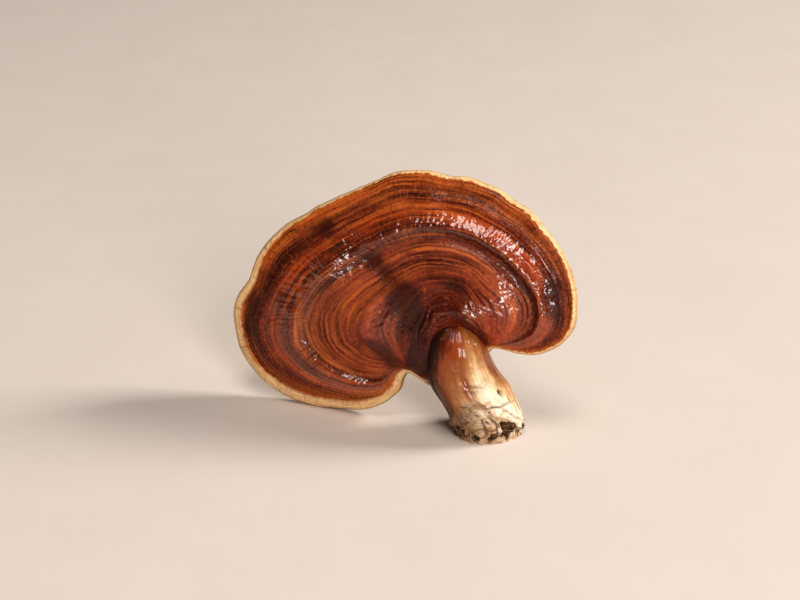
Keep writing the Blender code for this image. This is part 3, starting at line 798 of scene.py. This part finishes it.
def makeStemBark(groups):
    look = stemLook
    material, tree, shader = newMaterial("stem_bark", {
        "Coat Roughness": 0.12, "Coat IOR": 1.5, "Specular IOR Level": 0.12})
    place, height, turn = placeInMm(tree), attribute(tree, "stemHeight"), attribute(tree, "turn", "Vector")
    below, deep = attribute(tree, "below"), attribute(tree, "deep")
    tones = {name: (*look[name], 1.0) for name in ("flesh", "tan", "darkShadedFlank", "amber", "stain", "soil", "earth")}
    grain = useGroup(tree, groups["fineGrain"], {"Place": place, "Size": 0.9})
    fibres = noise(tree, turn, 0.075, detail=4.0, roughness=0.65)
    streaks = noise(tree, turn, 0.30, detail=4.0, roughness=0.6)
    patches = noise(tree, place, 4.0, detail=4.0, roughness=0.6)
    right = addNode(tree, "ShaderNodeSeparateXYZ", {0: turn}).outputs[0]
    # left of the stem pushed darker as painted shade, partly the flank's own darker colour; a band right of the middle
    # pushed paler as a painted highlight, partly the stem's cream colour
    sides = maths(tree, "MULTIPLY", maths(tree, "MINIMUM", right, 0.0), -look["leftShadeShare"])
    pale = maths(tree, "MULTIPLY", stretch(tree, right, -0.05, 0.35), stretch(tree, right, 0.98, 0.70))
    sides = maths(tree, "MULTIPLY_ADD", pale, -look["paleHighlightShare"], sides)
    level = maths(tree, "MULTIPLY_ADD", height, 1.0 / look["top"], sides)
    level = maths(tree, "ADD", level, maths(tree, "MULTIPLY_ADD", streaks, 0.55, -0.275))
    level = maths(tree, "ADD", level, maths(tree, "MULTIPLY_ADD", patches, 0.30, -0.15))
    color = ramp(tree, level, look["tones"])
    color = blend(tree, stretch(tree, fibres, 0.50, 0.72, 0.0, 0.25), color, tones["amber"])
    color = blend(tree, stretch(tree, patches, 0.54, 0.72, 0.0, 0.60), color, tones["tan"])
    # amber streaks kept to the left half: streaky colour, darkened there as painted shade
    brown = maths(tree, "MULTIPLY", stretch(tree, streaks, 0.50, 0.64, 0.0, 0.75), stretch(tree, right, 0.35, -0.2))
    color = blend(tree, brown, color, tones["amber"])
    # darkest left flank: partly the stem's own dark colour, partly painted shade on the side away from the lights
    flank = stretch(tree, maths(tree, "MULTIPLY_ADD", streaks, -0.7, right), -0.85, -1.20)
    flank = maths(tree, "MULTIPLY", flank, stretch(tree, height, 3.0, 12.0))
    color = blend(tree, flank, color, tones["darkShadedFlank"])
    bare = stretch(tree, maths(tree, "MULTIPLY_ADD", patches, 5.0, maths(tree, "ADD", below, -2.5)), -1.5, 2.0)
    rough = blend(tree, stretch(tree, patches, 0.40, 0.62, 0.0, 0.85), tones["flesh"], tones["tan"])
    shade = maths(tree, "MULTIPLY", stretch(tree, right, 0.5, -0.8), 0.90)
    rough = blend(tree, shade, rough, tones["earth"])
    color = blend(tree, maths(tree, "MULTIPLY", bare, 0.85), color, rough)
    specks = noise(tree, place, 1.3, detail=2.0)
    color = blend(tree, maths(tree, "MULTIPLY", stretch(tree, specks, 0.66, 0.72), stretch(tree, height, 26.0, 14.0)),
                  color, tones["stain"])
    # painted shade in the crevices, mixed with grain mottling, in earth brown
    creviceShadeMask = stretch(tree, maths(tree, "MULTIPLY_ADD", grain["Height"], 0.8, attribute(tree, "creviceShade")), 0.45, 1.1)
    color = blend(tree, maths(tree, "MULTIPLY", creviceShadeMask, 0.9), color, tones["earth"])
    grime = stretch(tree, maths(tree, "MULTIPLY_ADD", deep, 0.02, grain["Height"]), 0.54, 0.68, 0.0, 0.5)
    color = blend(tree, maths(tree, "MULTIPLY", grime, stretch(tree, below, -4.0, 3.0)), color, tones["tan"])
    color = blend(tree, attribute(tree, "stain"), color, tones["stain"])
    soil = blend(tree, stretch(tree, grain["Height"], 0.42, 0.60), tones["soil"], tones["earth"])
    color = blend(tree, attribute(tree, "soil"), color, soil)
    tree.links.new(color, shader.inputs["Base Color"])
    lacquer = maths(tree, "MULTIPLY", stretch(tree, level, 0.30, 0.55), maths(tree, "SUBTRACT", 1.0, bare))
    lacquer = maths(tree, "SUBTRACT", lacquer, attribute(tree, "soil"), clamp=True)
    tree.links.new(maths(tree, "MULTIPLY", lacquer, maths(tree, "MULTIPLY_ADD", flank, -0.75, 0.9)),
                   shader.inputs["Coat Weight"])
    tree.links.new(maths(tree, "MULTIPLY_ADD", lacquer, -0.20, 0.70), shader.inputs["Roughness"])
    relief = maths(tree, "MULTIPLY_ADD", fibres, 0.14, maths(tree, "MULTIPLY", grain["Height"], 0.22))
    for part, socket in ((relief, "Normal"), (maths(tree, "MULTIPLY", streaks, 0.5), "Coat Normal")):
        bump = addNode(tree, "ShaderNodeBump", {"Height": part, "Strength": 1.0, "Distance": mm})
        tree.links.new(bump.outputs[0], shader.inputs[socket])
    return material


# Studio

studio = {
    "lens": 90.0, "elevation": 22.0, "distance": 720.0, "aimAcross": -30.96, "aimUp": 48.24,
    "floor": (0.70, 0.60, 0.515), "floorPale": (0.76, 0.66, 0.58), "floorReach": 6000.0,
    "lights": {  # degrees to the right of the camera, degrees up, distance, width, height, watts
        "keySoftbox": (19.0, 23.0, 2600.0, 650.0, 1500.0, 36.0, (0.96, 0.97, 1.0)),
        "sideSoftbox": (98.0, 34.0, 2600.0, 900.0, 900.0, 54.0, (0.99, 0.99, 1.0)),
        "frontSoftbox": (0.0, 70.0, 2800.0, 1100.0, 1100.0, 27.0, (1.0, 0.98, 0.96)),
    },
    "aim": (-25.0, 0.0, 40.0),
    "air": (0.80, 0.76, 0.72), "airStrength": 0.08, "horizon": (0.70, 0.59, 0.50),
}


def makeCamera():
    slope = math.radians(studio["elevation"])
    aim = Vector((studio["aimAcross"], studio["aimUp"] * math.sin(slope), studio["aimUp"] * math.cos(slope)))
    back = Vector((0.0, -math.cos(slope), math.sin(slope))) * studio["distance"]
    data = bpy.data.cameras.new("photo_view")
    data.lens = studio["lens"]
    data.clip_start, data.clip_end = 0.01, 20.0
    camera = bpy.data.objects.new("photo_view", data)
    camera.location = (aim + back) * mm
    camera.rotation_euler = (math.pi / 2 - slope, 0.0, 0.0)
    bpy.context.scene.collection.objects.link(camera)
    bpy.context.scene.camera = camera


def makeLight(name, right, up, distance, width, height, power, tint):
    data = bpy.data.lights.new(name, "AREA")
    data.shape = "RECTANGLE"
    data.size, data.size_y, data.energy, data.color = width * mm, height * mm, power, tint
    light = bpy.data.objects.new(name, data)
    right, up = math.radians(right), math.radians(up)
    toLight = Vector((math.sin(right) * math.cos(up), -math.cos(right) * math.cos(up), math.sin(up)))
    light.location = (Vector(studio["aim"]) + toLight * distance) * mm
    light.rotation_euler = toLight.to_track_quat("Z", "Y").to_euler()
    bpy.context.scene.collection.objects.link(light)


def makeFloor(groups):
    material, tree, shader = newMaterial("pale_paper", {"Roughness": 0.9, "Specular IOR Level": 0.15})
    grain = useGroup(tree, groups["fineGrain"], {"Place": placeInMm(tree), "Size": 7.0})
    color = blend(tree, stretch(tree, grain["Blotches"], 0.3, 0.7, 0.0, 0.25), (*studio["floor"], 1.0),
                  (*studio["floorPale"], 1.0))
    tree.links.new(color, shader.inputs["Base Color"])
    mesh = bmesh.new()
    bmesh.ops.create_grid(mesh, x_segments=8, y_segments=8, size=studio["floorReach"] * mm)
    data = bpy.data.meshes.new("pale_floor")
    mesh.to_mesh(data)
    mesh.free()
    data.materials.append(material)
    floor = bpy.data.objects.new("pale_floor", data)
    bpy.context.scene.collection.objects.link(floor)


def makeWorld():
    world = bpy.data.worlds.new("studio_air")
    world.use_nodes = True
    tree = world.node_tree
    seen = addNode(tree, "ShaderNodeLightPath").outputs["Is Camera Ray"]
    background = tree.nodes["Background"]
    color = blend(tree, seen, (*studio["air"], 1.0), (*studio["horizon"], 1.0))
    tree.links.new(color, background.inputs["Color"])
    strength = maths(tree, "MULTIPLY_ADD", seen, 1.0 - studio["airStrength"], studio["airStrength"])
    tree.links.new(strength, background.inputs["Strength"])
    bpy.context.scene.world = world


groups = {"ringLines": makeRingLines(), "fineGrain": makeFineGrain()}
print("shader groups made")

cap = makeCap([makeLacquer(groups), makePores(groups)])
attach(cap, "root")
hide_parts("cap")
print("cap made:", len(cap.data.polygons), "faces")

stem = makeStem([makeStemBark(groups)])
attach(stem, "root")
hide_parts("stem")
print("stem made:", len(stem.data.polygons), "faces")

makeCamera()
makeFloor(groups)
for name, look in studio["lights"].items():
    makeLight(name, *look)
makeWorld()
bpy.context.scene.view_settings.view_transform = "Standard"
bpy.context.scene.view_settings.look = "Medium High Contrast"
print("studio made")

bpy.context.view_layer.update()
